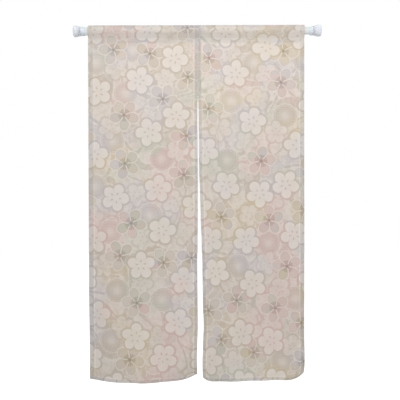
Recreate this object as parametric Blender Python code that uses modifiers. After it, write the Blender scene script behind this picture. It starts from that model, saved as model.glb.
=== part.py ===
"""Noren curtain: two printed cloth panels, sewn together at the top and slit below, on a tension rod.

Metres, +Z up. The origin is the centre of the left bumper's wall face. +X runs along the rod to
the right wall, and the cloth faces -Y. The cloth hangs from the rod by a pocket that its top edge
makes: each panel runs up behind the rod, over a pressed crease above it, and down in front.
"""

import math

import bmesh
import bpy
from mathutils import Vector

# Rod, along X
ROD_SPAN = 1.029
OUTER_TUBE_RADIUS = 0.0170
OUTER_TUBE_END = 0.680
INNER_TUBE_RADIUS = 0.0160
INNER_TUBE_START = 0.480
TUBE_WALL = 0.0007
TUBE_EDGE = 0.0002
FIT_GAP = 0.0003
ROUND_STEPS = 40

# Rubber bumpers and plastic collars at the rod's ends
CAP_FACE_RADIUS = 0.0205
CAP_BULGE_RADIUS = 0.0243
CAP_NECK_RADIUS = 0.0196
CAP_FLOOR = 0.006
CAP_BULGE_SHARE = 0.30
CAP_ROUND_POINTS = 5
COLLAR_RADIUS = 0.0200
COLLAR_EDGE = 0.0015
END_COLUMNS = ("side", "cap_length", "collar_length")
END_ROWS = (
    ("left", 0.0300, 0.0170),
    ("right", 0.0350, 0.0120),
)

# Cloth
SHEET_THICKNESS = 0.0010
HEM_THICKNESS = 0.0016
HEM_STEP = 0.0015
FLAT_LENGTHS = {"left": 1.5020, "right": 1.4940}
SEAM_LENGTH = 0.300
SIDE_HEM_LEFT = 0.0210
SIDE_HEM_RIGHT = 0.0180
SLIT_HEM = 0.0140
BOTTOM_HEM = 0.0140

# Rod pocket, as a section across the rod
CREASE_TOP = 0.0260
CREASE_BEND = 0.0016
CREASE_POINTS = 3
STITCH_DROP = 0.0320
FLAP_BELOW_STITCH = 0.0035
ARC_POINTS = 6

# Rows of the cloth below the pocket: the coarse step, and the finer one near the bottom corners
COARSE_STEP = 0.038
FINE_STEP = 0.019
FINE_REACH = 0.150
COLUMN_STEP = 0.042

# X of each panel's edges as it hangs. Down to the slit the seam holds the inner edges together.
OUTER_COLUMNS = ("below_top", "left", "right")
OUTER_ROWS = (
    (0.000, 0.0600, 0.9600),
    (0.500, 0.0600, 0.9584),
    (1.000, 0.0592, 0.9574),
    (1.300, 0.0574, 0.9566),
    (1.480, 0.0545, 0.9602),
)
SLIT_COLUMNS = ("below_top", "left", "right")
SLIT_ROWS = (
    (0.300, 0.51635, 0.51665),
    (0.330, 0.5148, 0.5184),
    (0.400, 0.5138, 0.5196),
    (0.500, 0.5146, 0.5202),
    (0.600, 0.5150, 0.5204),
    (0.700, 0.5148, 0.5240),
    (0.800, 0.5142, 0.5266),
    (0.900, 0.5132, 0.5301),
    (1.000, 0.5118, 0.5328),
    (1.150, 0.5126, 0.5344),
    (1.250, 0.5132, 0.5374),
    (1.350, 0.5106, 0.5338),
    (1.400, 0.5088, 0.5318),
    (1.480, 0.5100, 0.5334),
)

# Corners that curl back as the cloth hangs. Power 2 curls like a page, and 1 leans straight.
CURL_COLUMNS = ("panel", "edge", "back", "reach_up", "reach_across", "power")
CURL_ROWS = (
    ("left", "outer", 0.037, 0.420, 0.230, 1.3),
    ("left", "slit", 0.062, 0.150, 0.200, 2.0),
    ("right", "slit", 0.026, 0.090, 0.048, 2.0),
    ("right", "outer", 0.044, 0.130, 0.115, 2.0),
)

# Soft upright folds: how far they swing at the bottom, and how many cross the panel
FOLD_COLUMNS = ("panel", "swing", "folds", "phase", "lean")
FOLD_ROWS = (
    ("left", 0.0070, 1.30, 0.10, 0.20),
    ("left", 0.0030, 3.10, 0.45, -0.35),
    ("right", 0.0085, 1.15, 0.62, -0.15),
    ("right", 0.0028, 3.60, 0.20, 0.40),
)
FOLD_START = 0.300
EDGE_TURN = 0.0070
EDGE_TURN_REACH = 0.035

# How far each bottom corner is drawn up by its stiff hems
HEM_RISE_COLUMNS = ("panel", "edge", "rise", "reach_across")
HEM_RISE_ROWS = (
    ("left", "outer", 0.0030, 0.150),
    ("left", "slit", 0.0030, 0.080),
    ("right", "slit", 0.0040, 0.040),
    ("right", "outer", 0.0090, 0.080),
)
HEM_RISE_REACH = 0.300

# Colour and roughness of each material
LOOK_COLUMNS = ("slot", "colour", "roughness")
LOOK_ROWS = (
    ("cloth", (0.62, 0.56, 0.50, 1.0), 0.90),
    ("tube", (0.82, 0.84, 0.85, 1.0), 0.35),
    ("collar", (0.80, 0.86, 0.92, 1.0), 0.40),
    ("cap", (0.74, 0.73, 0.80, 1.0), 0.65),
)


def table(columns, rows):
    """Rows of a table as dictionaries, one for each row."""
    return [dict(zip(columns, row)) for row in rows]


def material(look):
    """A plain Principled material, from a row of the looks."""
    made = bpy.data.materials.new(look["slot"])
    made.use_nodes = True
    shader = made.node_tree.nodes["Principled BSDF"]
    shader.inputs["Base Color"].default_value = look["colour"]
    shader.inputs["Roughness"].default_value = look["roughness"]
    shader.inputs["Metallic"].default_value = 0.0
    made.diffuse_color = look["colour"]
    return made


def add_object(name, mesh, look, collection):
    """Puts a mesh into the collection as an object with its own material."""
    made = bpy.data.objects.new(name, mesh)
    mesh.materials.append(look)
    collection.objects.link(made)
    return made


def turned(name, profile, look, collection):
    """A profile of (distance along the rod, radius) points, turned about the rod's axis.

    Its outer side runs from the far end to the near one, which keeps the faces pointing out. It is
    closed, unless it starts and ends on the axis. The local Z axis becomes the rod's X axis.
    """
    mesh = bpy.data.meshes.new(name)
    points = [(radius, 0.0, along) for along, radius in profile]
    edges = list(zip(range(len(points) - 1), range(1, len(points))))
    if profile[0][1] > 0.0:
        edges.append((len(points) - 1, 0))
    mesh.from_pydata(points, edges, [])
    made = add_object(name, mesh, look, collection)
    made.rotation_euler = (0.0, math.radians(90.0), 0.0)
    screw = made.modifiers.new("turn", "SCREW")
    screw.steps = ROUND_STEPS
    screw.render_steps = ROUND_STEPS
    screw.use_merge_vertices = True
    screw.merge_threshold = 0.00001
    screw.use_smooth_shade = True
    return made


def tube_profile(start, end, radius):
    """A plain tube's section, with a small bevel at its two outer edges."""
    inside = radius - TUBE_WALL
    return [
        (end - TUBE_EDGE, radius),
        (start + TUBE_EDGE, radius),
        (start, radius - TUBE_EDGE),
        (start, inside),
        (end, inside),
        (end, radius - TUBE_EDGE),
    ]


def collar_profile(start, end, bore):
    """A ring's section with bevelled outer edges."""
    return [
        (end - COLLAR_EDGE, COLLAR_RADIUS),
        (start + COLLAR_EDGE, COLLAR_RADIUS),
        (start, COLLAR_RADIUS - COLLAR_EDGE),
        (start, bore),
        (end, bore),
        (end, COLLAR_RADIUS - COLLAR_EDGE),
    ]


def cap_outline(length):
    """The bumper's outer side from its neck to its wall face, as (distance from face, radius)."""
    bulge = length * CAP_BULGE_SHARE
    flare = []
    for i in range(CAP_ROUND_POINTS + 1):
        part = i / CAP_ROUND_POINTS
        swell = 0.5 - 0.5 * math.cos(math.pi * part)
        radius = CAP_NECK_RADIUS + (CAP_BULGE_RADIUS - CAP_NECK_RADIUS) * swell
        flare.append((length - (length - bulge) * part, radius))
    shoulder = []
    for i in range(1, CAP_ROUND_POINTS + 1):
        turn = 0.5 * math.pi * i / CAP_ROUND_POINTS
        radius = CAP_FACE_RADIUS + (CAP_BULGE_RADIUS - CAP_FACE_RADIUS) * math.cos(turn)
        shoulder.append((bulge * (1.0 - math.sin(turn)), radius))
    return flare + shoulder


def cap_profile(length, bore):
    """A bumper's section: the blind bore from its floor's centre, the outer side, the wall face."""
    return [(CAP_FLOOR, 0.0), (CAP_FLOOR, bore), (length, bore)] + cap_outline(length) + [(0.0, 0.0)]


def build_rod(collection, looks):
    """The two tubes, and a collar and a bumper at each end."""
    ends = {row["side"]: row for row in table(END_COLUMNS, END_ROWS)}
    tube_start = CAP_FLOOR + FIT_GAP
    tube_end = ROD_SPAN - CAP_FLOOR - FIT_GAP
    turned(
        "rod_outer_tube",
        tube_profile(tube_start, OUTER_TUBE_END, OUTER_TUBE_RADIUS),
        looks["tube"],
        collection,
    )
    turned(
        "rod_inner_tube",
        tube_profile(INNER_TUBE_START, tube_end, INNER_TUBE_RADIUS),
        looks["tube"],
        collection,
    )
    for side, radius in (("left", OUTER_TUBE_RADIUS), ("right", INNER_TUBE_RADIUS)):
        bore = radius + FIT_GAP
        cap_length = ends[side]["cap_length"]
        start = cap_length + FIT_GAP
        collar = collar_profile(start, start + ends[side]["collar_length"], bore)
        cap = cap_profile(cap_length, bore)
        pieces = (("collar_" + side, collar, "collar"), ("end_cap_" + side, cap, "cap"))
        for name, profile, look in pieces:
            made = turned(name, profile, looks[look], collection)
            if side == "right":
                made.rotation_euler = (0.0, math.radians(-90.0), 0.0)
                made.location = (ROD_SPAN, 0.0, 0.0)


def smooth(value):
    """An ease from 0 to 1, flat at both ends."""
    value = min(max(value, 0.0), 1.0)
    return value * value * (3.0 - 2.0 * value)


def edge_at(columns, rows, side, below_top):
    """X of a panel's outer or slit edge at a height, eased between the rows of its table."""
    rows = table(columns, rows)
    if below_top <= rows[0]["below_top"]:
        return rows[0][side]
    for upper, lower in zip(rows, rows[1:]):
        if below_top <= lower["below_top"]:
            part = (below_top - upper["below_top"]) / (lower["below_top"] - upper["below_top"])
            return upper[side] + (lower[side] - upper[side]) * smooth(part)
    return rows[-1][side]


def panel_ends(side, below_top):
    """X of a panel's left and right edges at a height."""
    outer = edge_at(OUTER_COLUMNS, OUTER_ROWS, side, below_top)
    slit = edge_at(SLIT_COLUMNS, SLIT_ROWS, side, below_top)
    return min(outer, slit), max(outer, slit)


def panel_width(side):
    """Flat width of a panel, measured along the rod."""
    left, right = panel_ends(side, 0.0)
    return right - left


def from_edge(side, edge, across):
    """Distance of a point from its panel's outer or slit edge. across runs from the left."""
    width = panel_width(side)
    is_left_edge = (side == "left") == (edge == "outer")
    return across if is_left_edge else width - across


def depth(side, across, down):
    """How far behind the rod's plane the hanging cloth lies, at a place on the flat panel."""
    width = panel_width(side)
    length = FLAT_LENGTHS[side]
    loose = smooth((down - FOLD_START) / (length - FOLD_START))
    back = 0.0
    for fold in table(FOLD_COLUMNS, FOLD_ROWS):
        if fold["panel"] == side:
            turns = fold["folds"] * across / width + fold["phase"]
            turns += fold["lean"] * down / length
            back += fold["swing"] * loose * math.sin(2.0 * math.pi * turns)
    near_outer = from_edge(side, "outer", across) / EDGE_TURN_REACH
    back += EDGE_TURN * loose * math.exp(-near_outer)
    for curl in table(CURL_COLUMNS, CURL_ROWS):
        if curl["panel"] == side:
            aside = from_edge(side, curl["edge"], across) / curl["reach_across"]
            above = (length - down) / curl["reach_up"]
            back += curl["back"] * max(0.0, 1.0 - aside - above) ** curl["power"]
    return back


def hem_rise(side, across, down):
    """How far the cloth is drawn up towards its corners, where the hems are stiffest."""
    low = smooth(1.0 - (FLAT_LENGTHS[side] - down) / HEM_RISE_REACH)
    rise = 0.0
    for row in table(HEM_RISE_COLUMNS, HEM_RISE_ROWS):
        if row["panel"] == side:
            aside = from_edge(side, row["edge"], across) / row["reach_across"]
            rise += row["rise"] * low * max(0.0, 1.0 - aside) ** 2
    return rise


def pocket_half():
    """One side of the pocket's section, from the crease down to the stitch, as (y, z) points.

    The cloth's middle runs straight from the crease to the rod, round it, and on to the stitch. The
    corners of the round stretch stand off a little, so that its flats clear the rod too.
    """
    radius = OUTER_TUBE_RADIUS + FIT_GAP + 0.5 * HEM_THICKNESS
    top = CREASE_TOP - 0.5 * HEM_THICKNESS
    ply = 0.5 * (HEM_THICKNESS + FIT_GAP)
    upper = math.acos(radius / top)
    stitch_reach = math.hypot(ply, STITCH_DROP)
    lower = math.pi - math.acos(radius / stitch_reach) - math.asin(ply / stitch_reach)
    section = []
    bend_centre = top - CREASE_BEND / math.cos(upper)
    for i in range(CREASE_POINTS):
        turn = upper * i / (CREASE_POINTS - 1)
        section.append((CREASE_BEND * math.sin(turn), bend_centre + CREASE_BEND * math.cos(turn)))
    step = (lower - upper) / ARC_POINTS
    corner_radius = radius / math.cos(0.5 * step)
    for i in range(ARC_POINTS):
        turn = upper + (i + 0.5) * step
        section.append((corner_radius * math.sin(turn), corner_radius * math.cos(turn)))
    last = section[-1]
    section.append((0.5 * (last[0] + ply), 0.5 * (last[1] - STITCH_DROP)))
    section.append((ply, -STITCH_DROP))
    return section


def along(section):
    """Length of the section from its first point to each point."""
    lengths = [0.0]
    for one, two in zip(section, section[1:]):
        lengths.append(lengths[-1] + math.dist(one, two))
    return lengths


def steps(start, end, longest):
    """Evenly spaced places from start to end, both included, no more than longest apart."""
    count = max(1, math.ceil((end - start) / longest - 1e-6))
    return [start + (end - start) * i / count for i in range(count + 1)]


def hang_rows(length):
    """Flat distances below the crease of the rows under the stitch, down to the bottom edge."""
    stitch = along(pocket_half())[-1]
    seam_end = SEAM_LENGTH + stitch - CREASE_TOP - STITCH_DROP
    fine = length - FINE_REACH
    hem = length - BOTTOM_HEM
    rows = steps(stitch, seam_end, COARSE_STEP)
    rows += steps(seam_end, fine, COARSE_STEP)[1:]
    rows += steps(fine, hem - HEM_STEP, FINE_STEP)[1:]
    return rows + [hem, length]


def hem_columns(side):
    """Flat distances from the panel's left edge of the columns, with a close pair at each hem."""
    width = panel_width(side)
    left_hem = SIDE_HEM_LEFT if side == "left" else SLIT_HEM
    right_hem = SLIT_HEM if side == "left" else SIDE_HEM_RIGHT
    middle = steps(left_hem + HEM_STEP, width - right_hem - HEM_STEP, COLUMN_STEP)
    return [0.0, left_hem] + middle + [width - right_hem, width], left_hem, right_hem


def hanging_grid(side):
    """Every column's points from the back flap's edge over the rod to the bottom edge.

    Below the stitch each column is walked down at its true length, so cloth that swings back also
    rises. With the columns comes a list that says of each whether it lies in a hem.
    """
    columns, left_hem, right_hem = hem_columns(side)
    width = panel_width(side)
    half = pocket_half()
    flap = (half[-1][0], -STITCH_DROP - FLAP_BELOW_STITCH)
    pocket = [flap] + half[::-1] + [(-y, z) for y, z in half[1:]]
    rows = hang_rows(FLAT_LENGTHS[side])
    left_end = panel_ends(side, 0.0)[0]
    grid = []
    for across in columns:
        points = [Vector((left_end + across, y, z)) for y, z in pocket]
        plane = points[-1].y
        z = points[-1].z
        last = depth(side, across, rows[0])
        for above, down in zip(rows, rows[1:]):
            back = depth(side, across, down)
            z -= math.sqrt((down - above) ** 2 - (back - last) ** 2)
            last = back
            left, right = panel_ends(side, CREASE_TOP - z)
            x = left + (right - left) * across / width
            points.append(Vector((x, plane + back, z + hem_rise(side, across, down))))
        grid.append(points)
    hemmed = [across <= left_hem or across >= width - right_hem for across in columns]
    return grid, hemmed


def build_panel(side, collection, look):
    """One panel: a grid laid on its hanging shape, thickened, and thicker along its hems."""
    grid, hemmed = hanging_grid(side)
    column_count = len(grid)
    row_count = len(grid[0])
    net = bmesh.new()
    bmesh.ops.create_grid(net, x_segments=column_count - 1, y_segments=row_count - 1, size=0.5)
    thick = []
    for vert in net.verts:
        column = round((vert.co.x + 0.5) * (column_count - 1))
        row = round((vert.co.y + 0.5) * (row_count - 1))
        in_hem = hemmed[column] or row <= 1 or row >= row_count - 2
        thick.append(in_hem)
        vert.co = grid[column][row]
    name = "panel_" + side
    mesh = bpy.data.meshes.new(name)
    net.to_mesh(mesh)
    net.free()
    mesh.shade_smooth()
    made = add_object(name, mesh, look, collection)
    group = made.vertex_groups.new(name="hem")
    group.add([i for i, in_hem in enumerate(thick) if in_hem], 1.0, "REPLACE")
    solid = made.modifiers.new("thickness", "SOLIDIFY")
    solid.thickness = HEM_THICKNESS
    solid.offset = 0.0
    solid.use_even_offset = True
    solid.vertex_group = group.name
    solid.thickness_vertex_group = SHEET_THICKNESS / HEM_THICKNESS
    return made


def main():
    for old in list(bpy.data.objects):
        bpy.data.objects.remove(old)
    collection = bpy.data.collections.new("noren_curtain")
    bpy.context.scene.collection.children.link(collection)
    looks = {row["slot"]: material(row) for row in table(LOOK_COLUMNS, LOOK_ROWS)}
    build_rod(collection, looks)
    for side in ("left", "right"):
        build_panel(side, collection, looks["cloth"])


main()
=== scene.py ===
"""Dresses a noren curtain: its printed slub cloth, its sewing, and the white tension rod.

Metres, +Z up. The rod runs along X, and the printed side of the cloth faces -Y. A place on the
flat cloth is given as across, from its panel's left edge, and down, from the crease over the rod.
"""

import math

import bpy
import numpy as np
from bpy.props import FloatProperty, FloatVectorProperty, IntProperty, PointerProperty
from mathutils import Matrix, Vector


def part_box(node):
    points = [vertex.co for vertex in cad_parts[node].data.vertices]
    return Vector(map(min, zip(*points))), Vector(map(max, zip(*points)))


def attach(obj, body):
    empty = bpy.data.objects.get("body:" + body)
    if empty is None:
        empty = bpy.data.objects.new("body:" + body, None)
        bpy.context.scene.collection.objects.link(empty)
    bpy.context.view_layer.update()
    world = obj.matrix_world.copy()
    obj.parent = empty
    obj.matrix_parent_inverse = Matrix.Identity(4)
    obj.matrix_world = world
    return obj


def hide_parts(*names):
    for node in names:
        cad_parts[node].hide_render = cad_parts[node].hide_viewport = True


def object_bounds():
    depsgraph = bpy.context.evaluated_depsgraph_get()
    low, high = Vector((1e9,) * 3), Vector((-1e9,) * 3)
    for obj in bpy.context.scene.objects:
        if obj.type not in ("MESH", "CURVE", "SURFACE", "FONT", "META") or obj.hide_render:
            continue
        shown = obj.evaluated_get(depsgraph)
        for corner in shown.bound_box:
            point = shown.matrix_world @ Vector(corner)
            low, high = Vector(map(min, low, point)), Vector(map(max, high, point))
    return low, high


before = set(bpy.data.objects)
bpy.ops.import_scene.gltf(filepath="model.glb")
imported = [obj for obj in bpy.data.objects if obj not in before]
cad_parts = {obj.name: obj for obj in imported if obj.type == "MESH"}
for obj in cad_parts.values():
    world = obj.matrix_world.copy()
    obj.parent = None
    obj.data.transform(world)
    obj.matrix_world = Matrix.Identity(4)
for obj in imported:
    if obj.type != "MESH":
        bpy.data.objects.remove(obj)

bl_info = {
    "name": "Noren Curtain",
    "version": (1, 0, 0),
    "blender": (4, 5, 0),
    "location": "View3D > Sidebar > Noren",
    "description": "Builds a printed noren curtain on its tension rod, with its sewing and a stage",
    "category": "Add Mesh",
}


def table(columns, *rows):
    """Rows as dictionaries, with each value under the name of its column."""
    return [dict(zip(columns, row)) for row in rows]


CAD_BOX = [list(corner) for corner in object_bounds()]
SIDES = ("left", "right")

# Rod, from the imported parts
ROD_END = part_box("end_cap_right")[1].x
OUTER_TUBE_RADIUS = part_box("rod_outer_tube")[1].z
CREASE_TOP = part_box("panel_left")[1].z

# Cloth as it was cut and sewn
FLAT_LENGTHS = {"left": 1.5020, "right": 1.4940}
SEAM_LENGTH = 0.300
OUTER_HEMS = {"left": 0.0210, "right": 0.0180}
SLIT_HEM = 0.0140
BOTTOM_HEM = 0.0140
# Width of the painted highlight line inside each hem
PALE_LINE = 0.0055

# Rod pocket, as a section across the rod
PLY_OFF_TUBE = 0.0011
PLY_HALF_GAP = 0.00095
CREASE_BEND = 0.0016
STITCH_DROP = 0.0320
FLAP_BELOW_STITCH = 0.0165
# Painted shade on the cloth: its strength below the stitch, where the flap lies behind, and on the pocket
# over the rod, and how far below the crease over the rod it fades out
FLAP_PAINTED_SHADE = 0.75
POCKET_PAINTED_SHADE = 0.40
CREASE_SHADE = 0.0070
CREASE_STEPS = 5
STRAIGHT_STEPS = 4
ARC_STEPS = 20

# X of each panel's edges as it hangs. Down to the slit the seam holds the inner edges together.
OUTER_EDGES = table(
    ("below_top", "left", "right"),
    (0.000, 0.0600, 0.9600),
    (0.500, 0.0600, 0.9584),
    (1.000, 0.0592, 0.9574),
    (1.300, 0.0574, 0.9566),
    (1.480, 0.0545, 0.9602),
)
SLIT_EDGES = table(
    ("below_top", "left", "right"),
    (0.300, 0.51635, 0.51665),
    (0.330, 0.5148, 0.5184),
    (0.400, 0.5138, 0.5196),
    (0.500, 0.5146, 0.5202),
    (0.600, 0.5150, 0.5204),
    (0.700, 0.5148, 0.5240),
    (0.800, 0.5142, 0.5266),
    (0.900, 0.5132, 0.5301),
    (1.000, 0.5118, 0.5328),
    (1.150, 0.5126, 0.5344),
    (1.250, 0.5132, 0.5374),
    (1.350, 0.5106, 0.5338),
    (1.400, 0.5088, 0.5318),
    (1.480, 0.5100, 0.5334),
)

# Corners that curl back as the cloth hangs. Power 2 curls like a page, and 1 leans straight.
CURLS = table(
    ("panel", "edge", "back", "reach_up", "reach_across", "power"),
    ("left", "outer", 0.037, 0.420, 0.230, 1.3),
    ("left", "slit", 0.062, 0.150, 0.200, 2.0),
    ("right", "slit", 0.026, 0.090, 0.048, 2.0),
    ("right", "outer", 0.044, 0.130, 0.115, 2.0),
)

# Soft upright folds: how far they swing at the bottom, and how many cross the panel
FOLDS = table(
    ("panel", "swing", "folds", "phase", "lean"),
    ("left", 0.0070, 1.30, 0.10, 0.20),
    ("left", 0.0030, 3.10, 0.45, -0.35),
    ("right", 0.0085, 1.15, 0.62, -0.15),
    ("right", 0.0028, 3.60, 0.20, 0.40),
)
FOLD_START = 0.300
EDGE_TURN = 0.0070
EDGE_TURN_REACH = 0.035

# How far each bottom corner is drawn up by its stiff hems
HEM_RISES = table(
    ("panel", "edge", "rise", "reach_across"),
    ("left", "outer", 0.0030, 0.150),
    ("left", "slit", 0.0030, 0.080),
    ("right", "slit", 0.0040, 0.040),
    ("right", "outer", 0.0090, 0.080),
)
HEM_RISE_REACH = 0.300

# Faint waves of the whole cloth: height in metres, and waves in a metre across and down
RIPPLES = table(
    ("height", "across", "down", "phase"),
    (0.00050, 5.3, 1.9, 0.13),
    (0.00035, 8.7, -3.1, 0.71),
    (0.00022, 3.9, 9.7, 0.38),
    (0.00018, 14.1, 6.3, 0.92),
)
RIPPLE_START = 0.060
RIPPLE_FULL = 0.250

# Puckers that the sewing draws in beside each line of stitches: share, and waves in a metre
PUCKERS = table(
    ("share", "waves", "phase"),
    (0.50, 31.0, 0.00),
    (0.30, 53.0, 0.37),
    (0.20, 77.0, 0.81),
)
PUCKER_HEIGHT = 0.00045
PUCKER_REACH = 0.0090
PUCKER_SHIFTS = {"left": 0.0, "right": 3.3, "bottom": 1.7, "pocket": 5.1}

# Sewing: how a line of stitches sinks into the cloth, and how unevenly the thread is laid
GROOVE_DEPTH = 0.00022
GROOVE_WIDTH = 0.0012
STITCH_RAMP = 0.0005
STITCH_SHIFT = 0.0001
STITCH_SWAY = 0.00012
THREAD_SINK = 0.0002
EDGE_CLEAR = 0.002
SEAM_BITE = 0.0016
SEAM_PITCH = 0.0026
SEAM_SLANT = 0.0012
BAR_REACH = 0.0032
BAR_STITCHES = 5
BAR_PITCH = 0.0005
BAR_RISE = 0.0018

# Print: how many of each motif, and how far apart. Their places are drawn in this order.
MOTIFS = table(
    ("kind", "count", "own_gap", "other_gap"),
    ("blossom", 50, 0.104, 0.078),
    ("flower", 40, 0.112, 0.080),
    ("disc", 24, 0.150, 0.070),
    ("faint", 52, 0.100, 0.062),
)
PRINT_LOW = (0.020, -1.560)
PRINT_HIGH = (1.000, 0.130)
MOTIF_TRIES = 24
MOTIF_MARGIN = 0.013
PETALS = 5
SCALLOPS = 16

# Attributes that tell a face which motifs reach it, from the lowest motif to the uppermost
MOTIF_SLOTS = {
    "disc": ("disc",),
    "faint": ("faint",),
    "flower": ("flower_a", "flower_b"),
    "blossom": ("blossom_a", "blossom_b"),
}
NOWHERE = (-50.0, -50.0, 0.0)

# Tones of the print: 0 is the cream, 0.5 the darkest hue, and 1 the ink
RIM_TONE = 0.09
BRANCH_TONE = 0.38
NOTCH_TONE = 0.36
OUTLINE_TONE = 0.48
DROP_TONE = 0.56
STAMEN_TONE = 0.76
HEART_TONE = 0.86

# Branches behind the motifs, each from its own part of a noise
BRANCHES = table(
    ("x", "y", "scale"),
    (0.0, 5.5, 5.6),
    (4.4, 1.2, 6.6),
)

# Soft patches of hue, each over the ones before it: where it is read, its scale, and its share
WASHES = table(
    ("hue", "x", "y", "scale", "low", "high", "share"),
    ("ochre", 0.0, 0.0, 4.3, 0.44, 0.66, 1.0),
    ("lilac", 3.7, 9.4, 4.9, 0.46, 0.64, 1.0),
    ("green", 8.2, 4.3, 4.4, 0.54, 0.68, 0.8),
    ("pink", 7.3, 2.1, 4.1, 0.52, 0.66, 0.9),
)

# How far the print's lines wander, and how far its hues bleed
WOBBLE = 0.0075
BLEED = 0.055

# Bake map: each side of the cloth fills one half of the square
BAKE_EDGE = 0.010
BAKE_RIM = 0.005

# Finishes of the rod: grain in features a metre and its height, roughness, soil, coat, how deep
# light soaks in, and the radius of a waist that takes painted shade
BUMPER_WAIST = 0.0196
FINISHES = table(
    ("name", "grain", "height", "roughness", "soil", "coat", "depth", "waist"),
    ("white tube coating", 700.0, 0.00004, 0.34, 0.10, 0.25, 0.000, 0.0),
    ("collar plastic", 420.0, 0.00003, 0.36, 0.06, 0.10, 0.005, 0.0),
    ("bumper rubber", 1100.0, 0.00007, 0.56, 0.12, 0.12, 0.014, BUMPER_WAIST),
)
# How dark the painted shade in a bumper's waist is
WAIST_SHADE = 0.13
SOAKED_SHARE = 0.8
SOIL_COLOUR = (0.42, 0.41, 0.40, 1.0)

# Turned parts of the rod, and steps round it. A groove or ring is given as a section: how far each
# point is from its middle, and how deep.
ROUND_STEPS = 96
TUBE_WALL = 0.0007
TUBE_ROLL = 0.00032
COLLAR_ROUND = 0.0016
COLLAR_GROOVE = ((-0.0006, 0.0), (-0.0003, 0.0004), (0.0003, 0.0004), (0.0006, 0.0))
COLLAR_GROOVE_INSET = 0.0032
FIT_GAP = 0.0003
FACE_RADIUS = 0.0205
FACE_GROOVE = 0.0006
FACE_RING = ((-0.0010, FACE_GROOVE), (-0.0006, 0.0), (0.0006, 0.0), (0.0010, FACE_GROOVE))
FACE_RING_RADII = (0.005, 0.009, 0.013, 0.017)
BULGE_RADIUS = 0.0243
BULGE_SHARE = 0.30
BULGE_STEPS = 12
FLARE_STEPS = 20
LIP = 0.0022
LIP_GROOVE = 0.0004
LIP_ROUND = 0.0006
BUMPER_FLOOR = 0.006

# Stage
FLOOR_GLOW = 0.30
HORIZON = 0.55
CAMERA_PLACE = (0.5238, -2.6, -0.704)
CAMERA_ROLL = 0.003
LENS = 56.2
SENSOR = 36.0
LIGHTS = table(
    ("name", "place", "aim", "width", "height", "power", "colour"),
    ("key_light", (0.57, -1.05, 0.26), (0.52, 0.0, -0.20), 1.2, 0.7, 7.8, (1.0, 0.99, 0.97)),
    ("side_light", (1.70, -1.40, -1.50), (0.80, 0.0, -1.25), 0.9, 0.9, 1.5, (1.0, 0.99, 0.98)),
    ("back_light", (0.20, 2.40, 0.90), (0.52, 0.0, -0.70), 1.6, 1.2, 14.0, (0.97, 0.98, 1.0)),
)


def paint(red, green, blue):
    """A colour given as 0 to 255 on a screen, in the linear numbers that a material holds."""
    shares = [value / 255.0 for value in (red, green, blue)]
    linear = [((share + 0.055) / 1.055) ** 2.4 for share in shares]
    return (*linear, 1.0)


def length_property(name, description, default):
    """A size in metres, shown in the user's unit."""
    look = {"precision": 5, "subtype": "DISTANCE", "unit": "LENGTH"}
    return FloatProperty(name=name, description=description, default=default, min=0.0, **look)


def colour_property(name, description, default):
    """A colour with a picker."""
    look = {"size": 4, "min": 0.0, "max": 1.0, "subtype": "COLOR"}
    return FloatVectorProperty(name=name, description=description, default=default, **look)


def share_property(name, description, default):
    """A share from none to all."""
    look = {"min": 0.0, "max": 1.0, "subtype": "FACTOR"}
    return FloatProperty(name=name, description=description, default=default, **look)


class NOREN_PG_cloth(bpy.types.PropertyGroup):
    """Sizes and colours of the woven cloth."""

    cell: length_property("Cell", "Longest side of a face of the cloth", 0.0056)
    ply: length_property("Ply", "Thickness of one ply", 0.0008)
    hem_ply: length_property("Hem ply", "How much a hem stands proud on the reverse", 0.0004)
    warp_pitch: length_property("Warp pitch", "From one upright thread to the next", 0.0011)
    weft_pitch: length_property("Weft pitch", "From one level thread to the next", 0.0013)
    weave_height: length_property("Weave height", "How far the threads stand out", 0.00022)
    slub: share_property("Slub", "How uneven the threads' colour is", 0.20)
    # Painted shade where a hem's ply, the flap or the rod lies behind the front ply, and at the crease
    hem_painted_shade: colour_property("Hem shade", "What a hem's ply multiplies by", (0.893, 0.910, 0.928, 1.0))
    # Painted shade on the seam, where four plies lie together
    seam_painted_shade: share_property("Seam shade", "What the seam's four plies multiply the colour by", 0.93)
    # Painted highlight in a narrow line inside each hem
    hem_painted_highlight: share_property("Pale line", "How far the print pales in a line inside each hem", 0.21)
    reverse: colour_property("Reverse", "Plain yarn that shows on the unprinted side", paint(214, 205, 194))
    reverse_share: share_property("Reverse share", "How far the print fades on the reverse", 0.55)
    sheerness: share_property("Sheerness", "Share of light that passes through a ply", 0.22)


class NOREN_PG_print(bpy.types.PropertyGroup):
    """Sizes and colours of the printed motifs."""

    seed: IntProperty(name="Seed", description="Number that the motifs' places come from", default=7, min=0)
    blossom_radius: length_property("Blossom radius", "From a blossom's centre to its petals' tips", 0.0575)
    flower_radius: length_property("Flower radius", "From a flower's centre to its petals' tips", 0.0640)
    disc_radius: length_property("Disc radius", "Radius of a scalloped disc", 0.0500)
    faint_radius: length_property("Faint radius", "From a faint blossom's centre to its petals' tips", 0.0470)
    cream: colour_property("Cream", "Palest colour of the print", paint(224, 216, 208))
    tint: share_property("Tint", "How far the pale parts take the hues around them", 0.15)
    taupe: colour_property("Taupe", "Hue of the dark parts", paint(198, 186, 173))
    ochre: colour_property("Ochre", "Hue of the dark parts in soft patches", paint(203, 189, 167))
    lilac: colour_property("Lilac", "Hue of the dark parts in soft patches", paint(196, 188, 186))
    green: colour_property("Green", "Hue of the dark parts in soft patches", paint(193, 190, 176))
    pink: colour_property("Pink", "Hue of the dark parts in soft patches", paint(208, 184, 177))
    ink: colour_property("Ink", "What the smallest marks multiply their hue by", (0.52, 0.50, 0.48, 1.0))


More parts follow.
